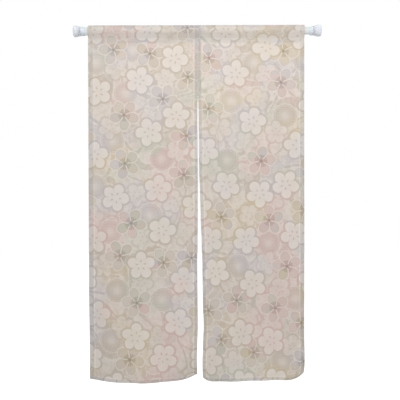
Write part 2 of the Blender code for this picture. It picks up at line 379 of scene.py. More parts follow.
class NOREN_PG_sewing(bpy.types.PropertyGroup):
    """Sizes and colour of the sewing thread."""

    thread_radius: length_property("Thread radius", "Half the thread's thickness", 0.00027)
    stitch: length_property("Stitch", "From the start of one stitch to the start of the next", 0.0038)
    stitch_gap: length_property("Stitch gap", "Part of each stitch that lies inside the cloth", 0.0007)
    inset: length_property("Inset", "From a hem's turned edge to its stitches", 0.0015)
    colour: colour_property("Colour", "Colour of the thread", paint(240, 234, 225))


class NOREN_PG_rod(bpy.types.PropertyGroup):
    """Colours of the tension rod."""

    tube: colour_property("Tube", "White coating of the steel tubes", paint(206, 209, 209))
    collar: colour_property("Collar", "Plastic of the two collars", paint(211, 218, 225))
    bumper: colour_property("Bumper", "Rubber of the two bumpers", paint(211, 213, 221))


class NOREN_PG_stage(bpy.types.PropertyGroup):
    """Floor and light of the stage."""

    floor_drop: length_property("Floor drop", "From the cloth's bottom edge down to the floor", 0.48)
    floor_size: length_property("Floor size", "Side of the square floor", 24.0)
    floor: colour_property("Floor", "Colour of the floor", (0.93, 0.93, 0.92, 1.0))
    sky: colour_property("Sky", "Light from above", (0.915, 0.925, 0.935, 1.0))
    ground: colour_property("Ground", "Light from below", (0.80, 0.80, 0.81, 1.0))


class NOREN_PG_settings(bpy.types.PropertyGroup):
    """All settings of the curtain."""

    cloth: PointerProperty(type=NOREN_PG_cloth)
    pattern: PointerProperty(type=NOREN_PG_print)
    sewing: PointerProperty(type=NOREN_PG_sewing)
    rod: PointerProperty(type=NOREN_PG_rod)
    stage: PointerProperty(type=NOREN_PG_stage)


class Wire:
    """A number, vector or colour on its way through a node tree. Sums and products add nodes."""

    def __init__(self, tree, socket):
        self.tree = tree
        self.socket = socket

    def math(self, operation, *others):
        return add_node(self.tree, "Math", enumerate((self, *others)), operation=operation)

    def __add__(self, other):
        return self.math("ADD", other)

    def __sub__(self, other):
        return self.math("SUBTRACT", other)

    def __mul__(self, other):
        return self.math("MULTIPLY", other)

    def __truediv__(self, other):
        return self.math("DIVIDE", other)

    def rest(self):
        """What is left of 1."""
        return add_node(self.tree, "Math", {0: 1.0, 1: self}, operation="SUBTRACT")

    def split(self):
        """Its X, Y and Z."""
        node = self.tree.nodes.new("ShaderNodeSeparateXYZ")
        feed(self.tree, self, node.inputs[0])
        return [Wire(self.tree, socket) for socket in node.outputs]


def feed(tree, value, socket):
    """Links a wire to a socket, or sets the socket to a plain value."""
    if isinstance(value, Wire):
        tree.links.new(value.socket, socket)
    else:
        socket.default_value = value


def add_node(tree, kind, inputs=(), output=0, **settings):
    """Adds a shader node with its settings and inputs, and returns one of its outputs as a wire."""
    node = tree.nodes.new("ShaderNode" + kind)
    for name, value in settings.items():
        setattr(node, name, value)
    for place, value in dict(inputs).items():
        feed(tree, value, node.inputs[place])
    return Wire(tree, node.outputs[output])


def rise(value, low, high):
    """Goes smoothly from 0 where value is low to 1 where it is high. low may be the larger."""
    places = {"Value": value, "From Min": low, "From Max": high}
    return add_node(value.tree, "MapRange", places, interpolation_type="SMOOTHSTEP")


def mixed(share, under, over, kind="RGBA", how="MIX"):
    """Two colours, numbers (FLOAT) or places (VECTOR) mixed, with share of the one on top."""
    tree = next(part.tree for part in (share, under, over) if isinstance(part, Wire))
    first, second, output = {"FLOAT": (2, 3, 0), "VECTOR": (4, 5, 1), "RGBA": (6, 7, 2)}[kind]
    places = {0: share, first: under, second: over}
    return add_node(tree, "Mix", places, output, data_type=kind, blend_type=how)


def times(colour, tone):
    """A colour multiplied by a number."""
    return mixed(1.0, colour, joined(tone, tone, tone), how="MULTIPLY")


def joined(x, y, z=0.0):
    """A vector from its parts."""
    tree = next(part.tree for part in (x, y, z) if isinstance(part, Wire))
    return add_node(tree, "CombineXYZ", {0: x, 1: y, 2: z})


def noise(where, scale, detail=1.0, distortion=0.0, output=0):
    """Soft noise from 0 to 1, with scale in features a metre."""
    places = {"Vector": where, "Scale": scale, "Detail": detail, "Distortion": distortion}
    return add_node(where.tree, "TexNoise", places, output, noise_dimensions="2D")


def added(where, step):
    """A place moved by a vector."""
    return add_node(where.tree, "VectorMath", {0: where, 1: step}, operation="ADD")


def moved(where, x, y):
    """A place moved by x and y, which are both numbers or both wires."""
    return added(where, joined(x, y) if isinstance(x, Wire) else (x, y, 0.0))


def stretched(where, x, y):
    """A place with each direction on its own scale."""
    return add_node(where.tree, "VectorMath", {0: where, 1: (x, y, 1.0)}, operation="MULTIPLY")


def mark(tree, name):
    """A number that the mesh holds under a name."""
    return add_node(tree, "Attribute", output=2, attribute_name=name)


def chance(place, salt):
    """A number from 0 to 1 that is the same all over one motif, or all over one of its petals."""
    x, y, _ = place.split()
    return add_node(place.tree, "TexWhiteNoise", {"Vector": joined(x, y, salt)}, noise_dimensions="3D")


def length_of(x, y):
    """How far a place lies from where x and y are 0."""
    return (x * x + y * y).math("SQRT")


def striped(value, pitch):
    """Waves from -1 to 1, a pitch apart."""
    return (value * (2.0 * math.pi / pitch)).math("SINE")


def arched(steps):
    """Arches from 0 to 1, one over each whole step."""
    return (steps * math.pi).math("SINE").math("ABSOLUTE")


def lay_out(tree):
    """Sets a tree's nodes in columns, so that they can be read in the editor."""
    for i, node in enumerate(tree.nodes):
        node.location = (220.0 * (i // 9), -190.0 * (i % 9))


def motif_group(name):
    """A node group that draws one motif: its tree, and the wires that come in.

    Tone runs from 0, pale, through 0.5, dark, to 1, the ink of the smallest marks. Wash is the place
    where the wash of hues is read, so a petal can take its hue from elsewhere.
    """
    tree = bpy.data.node_groups.new(name, "ShaderNodeTree")
    kinds = (("Tone", "Float"), ("Wash", "Vector"), ("Cloth", "Vector"), ("Place", "Vector"))
    for label, kind in kinds:
        tree.interface.new_socket(label, in_out="INPUT", socket_type="NodeSocket" + kind)
    for label, kind in kinds[:2]:
        tree.interface.new_socket(label, in_out="OUTPUT", socket_type="NodeSocket" + kind)
    source = tree.nodes.new("NodeGroupInput")
    return tree, [Wire(tree, source.outputs[label]) for label, _ in kinds]


def close_group(tree, tone, wash):
    """Sends a group's tone and wash out of it."""
    out = tree.nodes.new("NodeGroupOutput")
    feed(tree, tone, out.inputs["Tone"])
    feed(tree, wash, out.inputs["Wash"])
    lay_out(tree)
    return tree


def seen_from(cloth, place, petals):
    """A point as a motif sees it: reach from its centre, turn in petals, petal number, and the
    point as distances along that petal's axis and beside it."""
    cloth_x, cloth_y, _ = cloth.split()
    place_x, place_y, turned_by = place.split()
    x = cloth_x - place_x
    y = cloth_y - place_y
    reach = length_of(x, y)
    turn = (y.math("ARCTAN2", x) + turned_by) * (petals / (2.0 * math.pi))
    turn = turn.math("FLOORED_MODULO", float(petals))
    number = turn.math("FLOOR")
    angle = (turn - number - 0.5) * (2.0 * math.pi / petals)
    return reach, turn, number, reach * angle.math("COSINE"), reach * angle.math("SINE")


def oval(outward, sideways, centre, half_length, half_width):
    """1 on the edge of an oval that lies on a petal's axis, less inside and more outside."""
    return length_of((outward - centre) / half_length, sideways / half_width)


def blossom_group(size, name="plum blossom", strength=1.0, paleness=0.0):
    """A pale plum blossom: five round petals, a dark outline, and a drop at the foot of each."""
    tree, (tone, wash, cloth, place) = motif_group(name)
    reach, _, _, outward, sideways = seen_from(cloth, place, PETALS)
    petal_centre = 0.63 * size
    petal_radius = 0.37 * size
    heart_radius = 0.47 * size
    petal = oval(outward, sideways, petal_centre, 1.0, 1.0) - petal_radius
    edge = petal.math("SMOOTH_MIN", reach - heart_radius, 0.006)
    under = tone
    tone = mixed(rise(edge, 0.0106, 0.0044) * 0.95, tone, OUTLINE_TONE, "FLOAT")
    middle = rise(reach, 0.90 * size, 0.30 * size) * 0.05 + chance(place, 3.0) * 0.06 + paleness
    aside = sideways.math("ABSOLUTE") - outward * math.tan(math.pi / PETALS)
    notch = rise(aside, -0.0022, -0.0004) * rise(reach, 0.40 * size, 0.62 * size)
    petals = mixed(notch * 0.8, middle, NOTCH_TONE, "FLOAT")
    drop = rise(oval(outward, sideways, 0.305 * size, 0.115 * size, 0.055 * size), 1.25, 0.35)
    petals = mixed(drop * 0.9, petals, DROP_TONE, "FLOAT")
    tone = mixed(rise(edge, 0.0010, -0.0010), tone, petals, "FLOAT")
    return close_group(tree, mixed(strength, under, tone, "FLOAT"), wash)


def flower_group(size):
    """A dark flower: five egg-shaped petals with pale rims, fine stamens and a dark heart."""
    tree, (tone, wash, cloth, place) = motif_group("dark flower")
    reach, _, number, outward, sideways = seen_from(cloth, place, PETALS)
    waist = rise(outward, -0.10 * size, 0.60 * size) * 0.56 + 0.44
    edge = oval(outward, sideways / waist, 0.575 * size, 0.400 * size, 0.315 * size)
    petal_chance = chance(place, number)
    elsewhere = (petal_chance - 0.5) * 0.28
    inside = rise(edge, 1.02, 0.98)
    wash = mixed(inside * 0.75, wash, moved(wash, elsewhere, elsewhere * -0.7), "VECTOR")
    stripes = striped(sideways, 0.0068)
    checks = stripes * striped(outward, 0.0074)
    fine = mixed(petal_chance.math("GREATER_THAN", 0.5), stripes, checks, "FLOAT") * 0.075
    heart_glow = rise(reach, 0.46 * size, 0.10 * size) * 0.16
    petals = fine + rise(edge, 0.74, 0.98) * 0.09 + petal_chance * 0.12 + heart_glow + 0.28
    rim = rise(edge, 1.24, 1.14)
    tone = mixed(rim * 0.9, tone, RIM_TONE, "FLOAT")
    tone = mixed(inside, tone, petals, "FLOAT")
    middle_line = sideways.math("ABSOLUTE")
    side_line = (middle_line - outward * math.tan(0.33)).math("ABSOLUTE")
    off_line = middle_line.math("MINIMUM", side_line)
    line = rise(off_line, 0.0022, 0.0008) * rise(reach, 0.38 * size, 0.31 * size)
    tip = rise((reach - 0.36 * size).math("ABSOLUTE").math("MAXIMUM", off_line), 0.0034, 0.0018)
    tone = mixed(line.math("MAXIMUM", tip) * 0.80, tone, STAMEN_TONE, "FLOAT")
    half_sector = math.pi / PETALS
    bead_reach = 0.86 * size
    bead_x = outward - bead_reach * math.cos(half_sector)
    bead_y = middle_line - bead_reach * math.sin(half_sector)
    bead = rise(length_of(bead_x, bead_y), 0.0042, 0.0024)
    tone = mixed(bead * 0.85, tone, OUTLINE_TONE, "FLOAT")
    return close_group(tree, mixed(rise(reach, 0.0080, 0.0018), tone, HEART_TONE, "FLOAT"), wash)


def disc_group(size):
    """A scalloped disc that is pale in the middle and finely hatched."""
    tree, (tone, wash, cloth, place) = motif_group("scalloped disc")
    reach, turn, _, outward, sideways = seen_from(cloth, place, SCALLOPS)
    _, cloth_y, _ = cloth.split()
    edge = reach - arched(turn) * (0.075 * size) - 0.925 * size
    hatch = striped(cloth_y, 0.0078) * rise(reach, 0.85 * size, 0.70 * size) * 0.05
    shade = rise(reach, 0.05 * size, 0.60 * size) * 0.20 + hatch + chance(place, 9.0) * 0.08 + 0.12
    ring = rise((reach - 0.72 * size).math("ABSOLUTE"), 0.0018, 0.0006) * 0.10
    scallop = rise(oval(outward, sideways, 0.86 * size, 0.070 * size, 0.070 * size), 1.15, 0.85) * 0.10
    tone = mixed(rise(edge, 0.0050, 0.0036) * 0.8, tone, 0.08, "FLOAT")
    tone = mixed(rise(edge, 0.0008, -0.0008), tone, shade - scallop + ring, "FLOAT")
    return close_group(tree, tone, wash)


def ground_tone(cloth):
    """Tone of the print's background: soft patches, and dark branches with pale borders."""
    tone = rise(noise(moved(cloth, 2.9, 6.1), 9.0), 0.47, 0.62) * 0.14 + 0.15
    for row in BRANCHES:
        field = noise(moved(cloth, row["x"], row["y"]), row["scale"], 0.5, 0.35)
        off = (field - 0.5).math("ABSOLUTE")
        tone = mixed(rise(off, 0.050, 0.041) * 0.80, tone, RIM_TONE, "FLOAT")
        tone = mixed(rise(off, 0.034, 0.025), tone, BRANCH_TONE, "FLOAT")
    return tone + rise(noise(moved(cloth, 6.6, 3.4), 52.0, 1.0), 0.40, 0.62) * 0.11 - 0.05


def wash_colour(place, look):
    """Dark hue of the print: soft patches that pass into each other."""
    colour = look.taupe
    for row in WASHES:
        patch = noise(moved(place, row["x"], row["y"]), row["scale"])
        share = rise(patch, row["low"], row["high"]) * row["share"]
        colour = mixed(share, colour, getattr(look, row["hue"]))
    return colour


def print_colour(cloth, look):
    """The whole print: its tone from the background and the motifs, then its hue from the wash."""
    wobble = moved(noise(moved(cloth, 1.7, 1.7), 21.0, output=1), -0.5, -0.5)
    drawn = added(cloth, stretched(wobble, WOBBLE, WOBBLE))
    tone = ground_tone(drawn)
    blot = noise(moved(cloth, 5.3, 0.6), 34.0, 2.0, output=1)
    wash = added(drawn, stretched(blot, BLEED, BLEED))
    groups = {
        "disc": disc_group(look.disc_radius),
        "faint": blossom_group(look.faint_radius, "faint blossom", 0.62, 0.07),
        "flower": flower_group(look.flower_radius),
        "blossom": blossom_group(look.blossom_radius),
    }
    for kind, slots in MOTIF_SLOTS.items():
        for slot in slots:
            place = add_node(cloth.tree, "Attribute", output=1, attribute_name=slot)
            places = {"Tone": tone, "Wash": wash, "Cloth": drawn, "Place": place}
            tone = add_node(cloth.tree, "Group", places, node_tree=groups[kind])
            wash = Wire(cloth.tree, tone.socket.node.outputs["Wash"])
    dark = wash_colour(wash, look)
    ink = mixed(1.0, dark, look.ink, how="MULTIPLY")
    tint = mixed(1.0, dark, look.taupe, how="DIVIDE")
    pale = mixed(look.tint, look.cream, mixed(1.0, look.cream, tint, how="MULTIPLY"))
    return mixed(tone * 2.0 - 1.0, mixed(tone * 2.0, pale, dark), ink)


def weave(cloth, settings):
    """Threads over and under: how high they stand, and how light they are, each from 0 to 1."""
    x, y, _ = cloth.split()
    warp_turns = x / settings.warp_pitch
    weft_turns = y / settings.weft_pitch
    warp = arched(warp_turns)
    weft = arched(weft_turns)
    over = (warp_turns.math("FLOOR") + weft_turns.math("FLOOR")).math("FLOORED_MODULO", 2.0)
    warp_height = warp * (over * 0.45 + 0.55)
    weft_height = weft * (over.rest() * 0.45 + 0.55)
    height = warp_height.math("MAXIMUM", weft_height)
    weft_slub = noise(stretched(cloth, 16.0, 330.0), 1.0, 2.0)
    warp_slub = noise(stretched(cloth, 360.0, 13.0), 1.0, 2.0)
    return height, weft_slub * 0.5 + warp_slub * 0.5


def new_material(name):
    """An empty material with only its output: itself and its tree."""
    made = bpy.data.materials.new(name)
    made.use_nodes = True
    made.node_tree.nodes.clear()
    made.node_tree.nodes.new("ShaderNodeOutputMaterial")
    return made, made.node_tree


def close_material(made, shader):
    """Sends a shader out of a material."""
    feed(made.node_tree, shader, made.node_tree.get_output_node("ALL").inputs["Surface"])
    lay_out(made.node_tree)
    return made


def bumped(tree, height, distance, strength=1.0):
    """A normal that follows a height, whose full range stands for distance metres."""
    places = {"Height": height, "Distance": distance, "Strength": strength}
    return add_node(tree, "Bump", places)


def cloth_material(settings):
    """Printed slub cloth that lets a little light through."""
    cloth_look = settings.cloth
    made, tree = new_material("printed slub cloth")
    cloth = add_node(tree, "UVMap", uv_map="cloth")
    colour = print_colour(cloth, settings.pattern)
    colour = mixed(mark(tree, "reverse") * cloth_look.reverse_share, colour, cloth_look.reverse)
    # Painted shade where plies, the flap or the rod lie behind and in the crease, more painted shade on the
    # seam, and a painted highlight in a line inside each hem
    colour = mixed(mark(tree, "hem"), colour, cloth_look.hem_painted_shade, how="MULTIPLY")
    colour = times(colour, mark(tree, "seam") * (cloth_look.seam_painted_shade - 1.0) + 1.0)
    colour = times(colour, mark(tree, "pale") * cloth_look.hem_painted_highlight + 1.0)
    height, slub = weave(cloth, cloth_look)
    # Slub yarn colour, and painted shade in the weave's hollows where the threads lie low
    colour = times(colour, (slub - 0.5) * cloth_look.slub + height * 0.06 + 0.97)
    colour = times(colour, noise(cloth, 2.3, 3.0) * 0.05 + 0.975)
    normal = bumped(tree, height + slub * 0.8, cloth_look.weave_height, 0.7)
    fabric = {
        "Base Color": colour,
        "Roughness": slub * 0.18 + 0.76,
        "Normal": normal,
        "Sheen Weight": 0.12,
        "Sheen Roughness": 0.45,
        "Specular IOR Level": 0.25,
    }
    face = add_node(tree, "BsdfPrincipled", fabric)
    through = add_node(tree, "BsdfTranslucent", {"Color": colour, "Normal": normal})
    sheer = add_node(tree, "MixShader", {0: cloth_look.sheerness, 1: face, 2: through})
    return close_material(made, sheer)


def thread_material(sewing):
    """Twisted sewing thread with a soft sheen."""
    made, tree = new_material("sewing thread")
    where = add_node(tree, "TexCoord", output=3)
    tone = add_node(tree, "TexNoise", {"Vector": where, "Scale": 160.0, "Detail": 2.0})
    twist = {"Vector": where, "Scale": 900.0, "Distortion": 1.0}
    ply = add_node(tree, "TexWave", twist, 1, bands_direction="DIAGONAL")
    yarn = {
        "Base Color": times(sewing.colour, tone * 0.16 + 0.90),
        "Roughness": ply * 0.2 + 0.5,
        "Normal": bumped(tree, ply, 0.00006),
        "Sheen Weight": 0.3,
    }
    return close_material(made, add_node(tree, "BsdfPrincipled", yarn))


def hard_material(name, colour):
    """A hard or rubbery finish: a fine grain, faint mottling, and soil where hands and walls touch."""
    finish = next(row for row in FINISHES if row["name"] == name)
    made, tree = new_material(name)
    where = add_node(tree, "TexCoord", output=3)
    fine = add_node(tree, "TexNoise", {"Vector": where, "Scale": finish["grain"], "Detail": 3.0})
    cloudy = {"Vector": where, "Scale": 38.0, "Detail": 4.0, "Roughness": 0.6}
    mottle = add_node(tree, "TexNoise", cloudy)
    streaky = {"Vector": where, "Scale": 120.0, "Detail": 5.0, "Distortion": 1.2}
    scuffs = add_node(tree, "TexNoise", streaky)
    shade = times(colour, mottle * 0.06 + 0.97)
    shade = mixed(rise(scuffs, 0.58, 0.72) * finish["soil"], shade, SOIL_COLOUR)
    # Painted shade round a bumper's narrow waist, where its flare turns in
    waist = finish["waist"]
    if waist:
        _, y, z = where.split()
        shade = times(shade, rise(length_of(y, z), 1.16 * waist, waist) * -WAIST_SHADE + 1.0)
    uneven = mottle * 0.16 + rise(scuffs, 0.55, 0.75) * 0.12
    shader = {
        "Base Color": shade,
        "Roughness": uneven + (finish["roughness"] - 0.08),
        "Normal": bumped(tree, fine, finish["height"]),
        "Coat Weight": finish["coat"],
        "Coat Roughness": 0.25,
        "Subsurface Weight": SOAKED_SHARE if finish["depth"] else 0.0,
        "Subsurface Radius": (1.0, 1.0, 1.0),
        "Subsurface Scale": finish["depth"],
    }
    return close_material(made, add_node(tree, "BsdfPrincipled", shader))


def smooth(value):
    """An ease from 0 to 1, flat at both ends."""
    value = np.clip(value, 0.0, 1.0)
    return value * value * (3.0 - 2.0 * value)


def edge_at(rows, side, below_top):
    """X of a panel's outer or slit edge at each height, eased between the rows of its table."""
    heights = np.array([row["below_top"] for row in rows])
    places = np.array([row[side] for row in rows])
    upper = np.clip(np.searchsorted(heights, below_top, side="right") - 1, 0, len(rows) - 2)
    part = smooth((below_top - heights[upper]) / (heights[upper + 1] - heights[upper]))
    return places[upper] + (places[upper + 1] - places[upper]) * part


def panel_ends(side, below_top):
    """X of a panel's left and right edges at each height."""
    outer = edge_at(OUTER_EDGES, side, below_top)
    slit = edge_at(SLIT_EDGES, side, below_top)
    return (outer, slit) if side == "left" else (slit, outer)


def panel_hems(side):
    """Widths of a panel's left and right hems."""
    return (OUTER_HEMS["left"], SLIT_HEM) if side == "left" else (SLIT_HEM, OUTER_HEMS["right"])


def panel_width(side):
    """Flat width of a panel."""
    left, right = panel_ends(side, np.zeros(1))
    return float(right[0] - left[0])


def from_edge(side, edge, across):
    """Distance from a panel's outer or slit edge."""
    is_left_edge = (side == "left") == (edge == "outer")
    return across if is_left_edge else panel_width(side) - across


def rows_of(side, rows):
    """The rows of a table that are for one panel."""
    return [row for row in rows if row["panel"] == side]


def depth(side, across, down):
    """How far behind the rod's plane the hanging cloth lies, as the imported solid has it."""
    length = FLAT_LENGTHS[side]
    loose = smooth((down - FOLD_START) / (length - FOLD_START))
    back = EDGE_TURN * loose * np.exp(-from_edge(side, "outer", across) / EDGE_TURN_REACH)
    for fold in rows_of(side, FOLDS):
        turns = fold["folds"] * across / panel_width(side) + fold["phase"]
        turns = turns + fold["lean"] * down / length
        back = back + fold["swing"] * loose * np.sin(2.0 * math.pi * turns)
    for curl in rows_of(side, CURLS):
        aside = from_edge(side, curl["edge"], across) / curl["reach_across"]
        above = (length - down) / curl["reach_up"]
        back = back + curl["back"] * np.maximum(0.0, 1.0 - aside - above) ** curl["power"]
    return back


def hem_rise(side, across, down):
    """How far the cloth is drawn up towards its corners, where the hems are stiffest."""
    low = smooth(1.0 - (FLAT_LENGTHS[side] - down) / HEM_RISE_REACH)
    rise_by = np.zeros(np.broadcast(across, down).shape)
    for row in rows_of(side, HEM_RISES):
        aside = from_edge(side, row["edge"], across) / row["reach_across"]
        rise_by = rise_by + row["rise"] * low * np.maximum(0.0, 1.0 - aside) ** 2
    return rise_by


def pocket_section():
    """The pocket's front half, from the crease to the stitch: distance down the cloth, y and z."""
    radius = OUTER_TUBE_RADIUS + PLY_OFF_TUBE
    top = CREASE_TOP - PLY_OFF_TUBE
    upper = math.acos(radius / top)
    reach = math.hypot(PLY_HALF_GAP, STITCH_DROP)
    lower = math.pi - math.acos(radius / reach) - math.asin(PLY_HALF_GAP / reach)
    bend = np.linspace(0.0, upper, CREASE_STEPS)
    centre = top - CREASE_BEND / math.cos(upper)
    arc = np.linspace(upper, lower, ARC_STEPS)
    y = np.concatenate([CREASE_BEND * np.sin(bend), radius * np.sin(arc)])
    z = np.concatenate([centre + CREASE_BEND * np.cos(bend), radius * np.cos(arc)])
    y = np.append(y, np.linspace(y[-1], PLY_HALF_GAP, STRAIGHT_STEPS + 1)[1:])
    z = np.append(z, np.linspace(z[-1], -STITCH_DROP, STRAIGHT_STEPS + 1)[1:])
    down = np.concatenate([[0.0], np.cumsum(np.hypot(np.diff(y), np.diff(z)))])
    return down, -y, z


def stops(places, longest):
    """The given places and even steps between them, no more than longest apart."""
    found = [places[0]]
    for one, two in zip(places, places[1:]):
        count = max(1, math.ceil((two - one) / longest - 1e-6))
        found.extend(np.linspace(one, two, count + 1)[1:])
    return np.array(found)


def waves(along):
    """Uneven small waves along a line of stitches, from about -1 to 1."""
    total = np.zeros_like(along)
    for row in PUCKERS:
        total = total + row["share"] * np.sin(2.0 * math.pi * (row["waves"] * along + row["phase"]))
    return total


class Panel:
    """One hanging panel: a grid of places on the flat cloth, and where each is in the air."""

    def __init__(self, side, settings):
        self.side = side
        self.cloth = settings.cloth
        self.inset = settings.sewing.inset
        self.width = panel_width(side)
        self.length = FLAT_LENGTHS[side]
        self.left_hem, self.right_hem = panel_hems(side)
        self.left_end = float(panel_ends(side, np.zeros(1))[0][0])
        turn = self.inset
        near_hem = np.array((-turn, 0.0, turn, PALE_LINE))
        left = self.left_hem + near_hem
        right = self.width - self.right_hem - near_hem[::-1]
        self.across = stops([0.0, *left, *right, self.width], self.cloth.cell)
        self.hang()
        self.ruffle()

    def hang(self):
        """Walks each column over the rod and down at its true length."""
        pocket, pocket_y, pocket_z = pocket_section()
        self.stitch = pocket[-1]
        self.seam_end = self.stitch + SEAM_LENGTH - CREASE_TOP - STITCH_DROP
        hem = self.length - BOTTOM_HEM
        below = stops(
            [self.stitch, self.stitch + FLAP_BELOW_STITCH, self.seam_end]
            + [hem - PALE_LINE, hem - self.inset, hem, hem + self.inset, self.length],
            self.cloth.cell,
        )
        flap = [-self.stitch - FLAP_BELOW_STITCH]
        self.down = np.concatenate([flap, -pocket[:0:-1], pocket, below[1:]])
        across = self.across[None, :]
        back = depth(self.side, across, below[:, None])
        drops = np.sqrt(np.diff(below)[:, None] ** 2 - np.diff(back, axis=0) ** 2)
        z = -STITCH_DROP - np.cumsum(drops, axis=0)
        left, right = panel_ends(self.side, CREASE_TOP - z)
        x = left + (right - left) * across / self.width
        y = back[1:] - PLY_HALF_GAP
        z = z + hem_rise(self.side, across, below[1:, None])
        hanging = np.stack([x, y, z], axis=2)
        over_y = np.concatenate([[PLY_HALF_GAP], -pocket_y[:0:-1], pocket_y])
        over_z = np.concatenate([[-STITCH_DROP - FLAP_BELOW_STITCH], pocket_z[:0:-1], pocket_z])
        over = np.empty((len(over_y), len(self.across), 3))
        over[:, :, 0] = self.left_end + across
        over[:, :, 1] = over_y[:, None]
        over[:, :, 2] = over_z[:, None]
        self.middle = np.concatenate([over, hanging])
        tangent_down = np.gradient(self.middle, self.down, axis=0)
        tangent_across = np.gradient(self.middle, self.across, axis=1)
        normal = np.cross(tangent_down, tangent_across)
        self.normal = normal / np.linalg.norm(normal, axis=2, keepdims=True)

    def ruffle(self):
        """Adds the faint waves of the cloth, and the puckers beside its stitches."""
        across = self.across[None, :]
        down = self.down[:, None]
        free = smooth((down - self.stitch - RIPPLE_START) / RIPPLE_FULL)
        lift = np.zeros(self.middle.shape[:2])
        for row in RIPPLES:
            turns = row["across"] * across + row["down"] * down + row["phase"]
            lift = lift + row["height"] * free * np.sin(2.0 * math.pi * turns)
        hanging = smooth((down - self.stitch) / RIPPLE_START)
        lines = (
            ("left", across - self.left_hem, down, hanging),
            ("right", self.width - self.right_hem - across, down, hanging),
            ("bottom", down - (self.length - BOTTOM_HEM), across, down > self.stitch),
            ("pocket", down - self.stitch, across, down > self.stitch),
        )
        for line, off, along, share in lines:
            near = np.exp(-((off / PUCKER_REACH) ** 2)) * share
            lift = lift + PUCKER_HEIGHT * near * waves(along + PUCKER_SHIFTS[line])
        self.middle = self.middle + self.normal * lift[:, :, None]

    def flat_places(self):
        """How far across and down the flat cloth each point of the grid lies."""
        return [grid.ravel() for grid in np.meshgrid(self.across, self.down)]

    def in_hem(self):
        """1 where the cloth is hemmed and 0 elsewhere, for each place."""
        aside = (self.across <= self.left_hem) | (self.across >= self.width - self.right_hem)
        low = self.down >= self.length - BOTTOM_HEM
        return (aside[None, :] | low[:, None]).astype(float)

    def painted_ply_shade(self):
        """Painted shade at each place: where a hem's ply, the flap or the rod lies behind and lets less light
        through, and in the crease.
        """
        down = np.abs(self.down)
        flap = (self.down >= self.stitch) & (down <= self.stitch + FLAP_BELOW_STITCH)
        crease = np.maximum(0.0, 1.0 - down / CREASE_SHADE)
        pocket = (down < self.stitch) * POCKET_PAINTED_SHADE
        rows = np.maximum(np.maximum(flap * FLAP_PAINTED_SHADE, crease), pocket)
        return np.maximum(self.in_hem(), rows[:, None])

    def beside_hem(self):
        """How strong a painted highlight is in a narrow line inside each hem.

        The line grows paler down the cloth.
        """
        off_left = self.across - self.left_hem
        off_right = self.width - self.right_hem - self.across
        off_low = self.length - BOTTOM_HEM - self.down
        aside = [(off > 0.0) & (off < PALE_LINE - 1e-6) for off in (off_left, off_right)]
        low = (off_low > 0.0) & (off_low < PALE_LINE - 1e-6)
        hanging = self.down > self.stitch
        inside = off_low > 0.0
        upright = (aside[0] | aside[1])[None, :] & (hanging & inside)[:, None]
        level = low[:, None] & ((off_left > 0.0) & (off_right > 0.0))[None, :]
        strength = 0.45 + 0.55 * smooth(self.down / self.length)
        return np.maximum(upright * strength[:, None], level * 0.6)

    def in_seam(self):
        """1 where the hems of the two panels are sewn together."""
        off = from_edge(self.side, "slit", self.across)
        return ((off[None, :] <= SLIT_HEM) & (self.down[:, None] <= self.seam_end)).astype(float)

    def faces_of(self):
        """The printed side, the reverse and the rim as quads. The reverse's points come second."""
        row_count = len(self.down)
        column_count = len(self.across)
        number = np.arange(row_count * column_count).reshape(row_count, column_count)
        corners = (number[:-1, :-1], number[1:, :-1], number[1:, 1:], number[:-1, 1:])
        printed = np.stack([corner.ravel() for corner in corners], axis=1)
        reverse = printed[:, ::-1] + number.size
        ring = np.concatenate([number[:-1, 0], number[-1, :-1], number[:0:-1, -1], number[0, :0:-1]])
        after = np.roll(ring, -1)
        rim = np.stack([after, ring, ring + number.size, after + number.size], axis=1)
        return printed, reverse, rim

    def at(self, across, down, lift):
        """Points on the cloth, lift metres off its middle towards the printed side."""
        column = np.interp(across, self.across, np.arange(len(self.across)))
        row = np.interp(down, self.down, np.arange(len(self.down)))
        left = np.minimum(column.astype(int), len(self.across) - 2)
        upper = np.minimum(row.astype(int), len(self.down) - 2)
        right_share = (column - left)[:, None]
        lower_share = (row - upper)[:, None]
        found = []
        for grid in (self.middle, self.normal):
            above, below = (
                grid[line, left] * (1.0 - right_share) + grid[line, left + 1] * right_share
                for line in (upper, upper + 1)
            )
            found.append(above * (1.0 - lower_share) + below * lower_share)
        return found[0] + found[1] * np.asarray(lift, float)[:, None]


def scattered_motifs(seed):
    """Centres and turns of every motif of the print, drawn at random but kept apart."""
    draw = np.random.default_rng(seed)
    placed = np.empty((0, 2))
    kinds = np.empty(0, int)
    found = {}
    for kind, row in enumerate(MOTIFS):
        for _ in range(row["count"]):
            tries = draw.uniform(PRINT_LOW, PRINT_HIGH, (MOTIF_TRIES, 2))
            apart = np.linalg.norm(tries[:, None] - placed[None], axis=2)
            gaps = np.where(kinds == kind, row["own_gap"], row["other_gap"])
            room = np.min(apart / gaps, axis=1, initial=9.0)
            placed = np.vstack([placed, tries[np.argmax(room)]])
            kinds = np.append(kinds, kind)
        turns = draw.uniform(0.0, 2.0 * math.pi, row["count"])
        found[row["kind"]] = np.column_stack([placed[kinds == kind], turns])
    return found


def motifs_near(places, motifs, reach, slots):
    """For each place the motifs that reach it, in their steady order, and nowhere for the rest."""
    apart = np.linalg.norm(places[:, None] - motifs[None, :, :2], axis=2)
    apart = np.where(apart < reach, apart, np.inf)
    nearest = np.sort(np.argsort(apart, axis=1)[:, :slots], axis=1)
    found = motifs[nearest]
    found[np.isinf(np.take_along_axis(apart, nearest, axis=1))] = NOWHERE
    return found


def store(mesh, name, kind, domain, values):
    """Gives a mesh an attribute."""
    made = mesh.attributes.new(name, kind, domain)
    field = "vector" if kind == "FLOAT_VECTOR" else "value"
    made.data.foreach_set(field, np.asarray(values, np.float32).ravel())


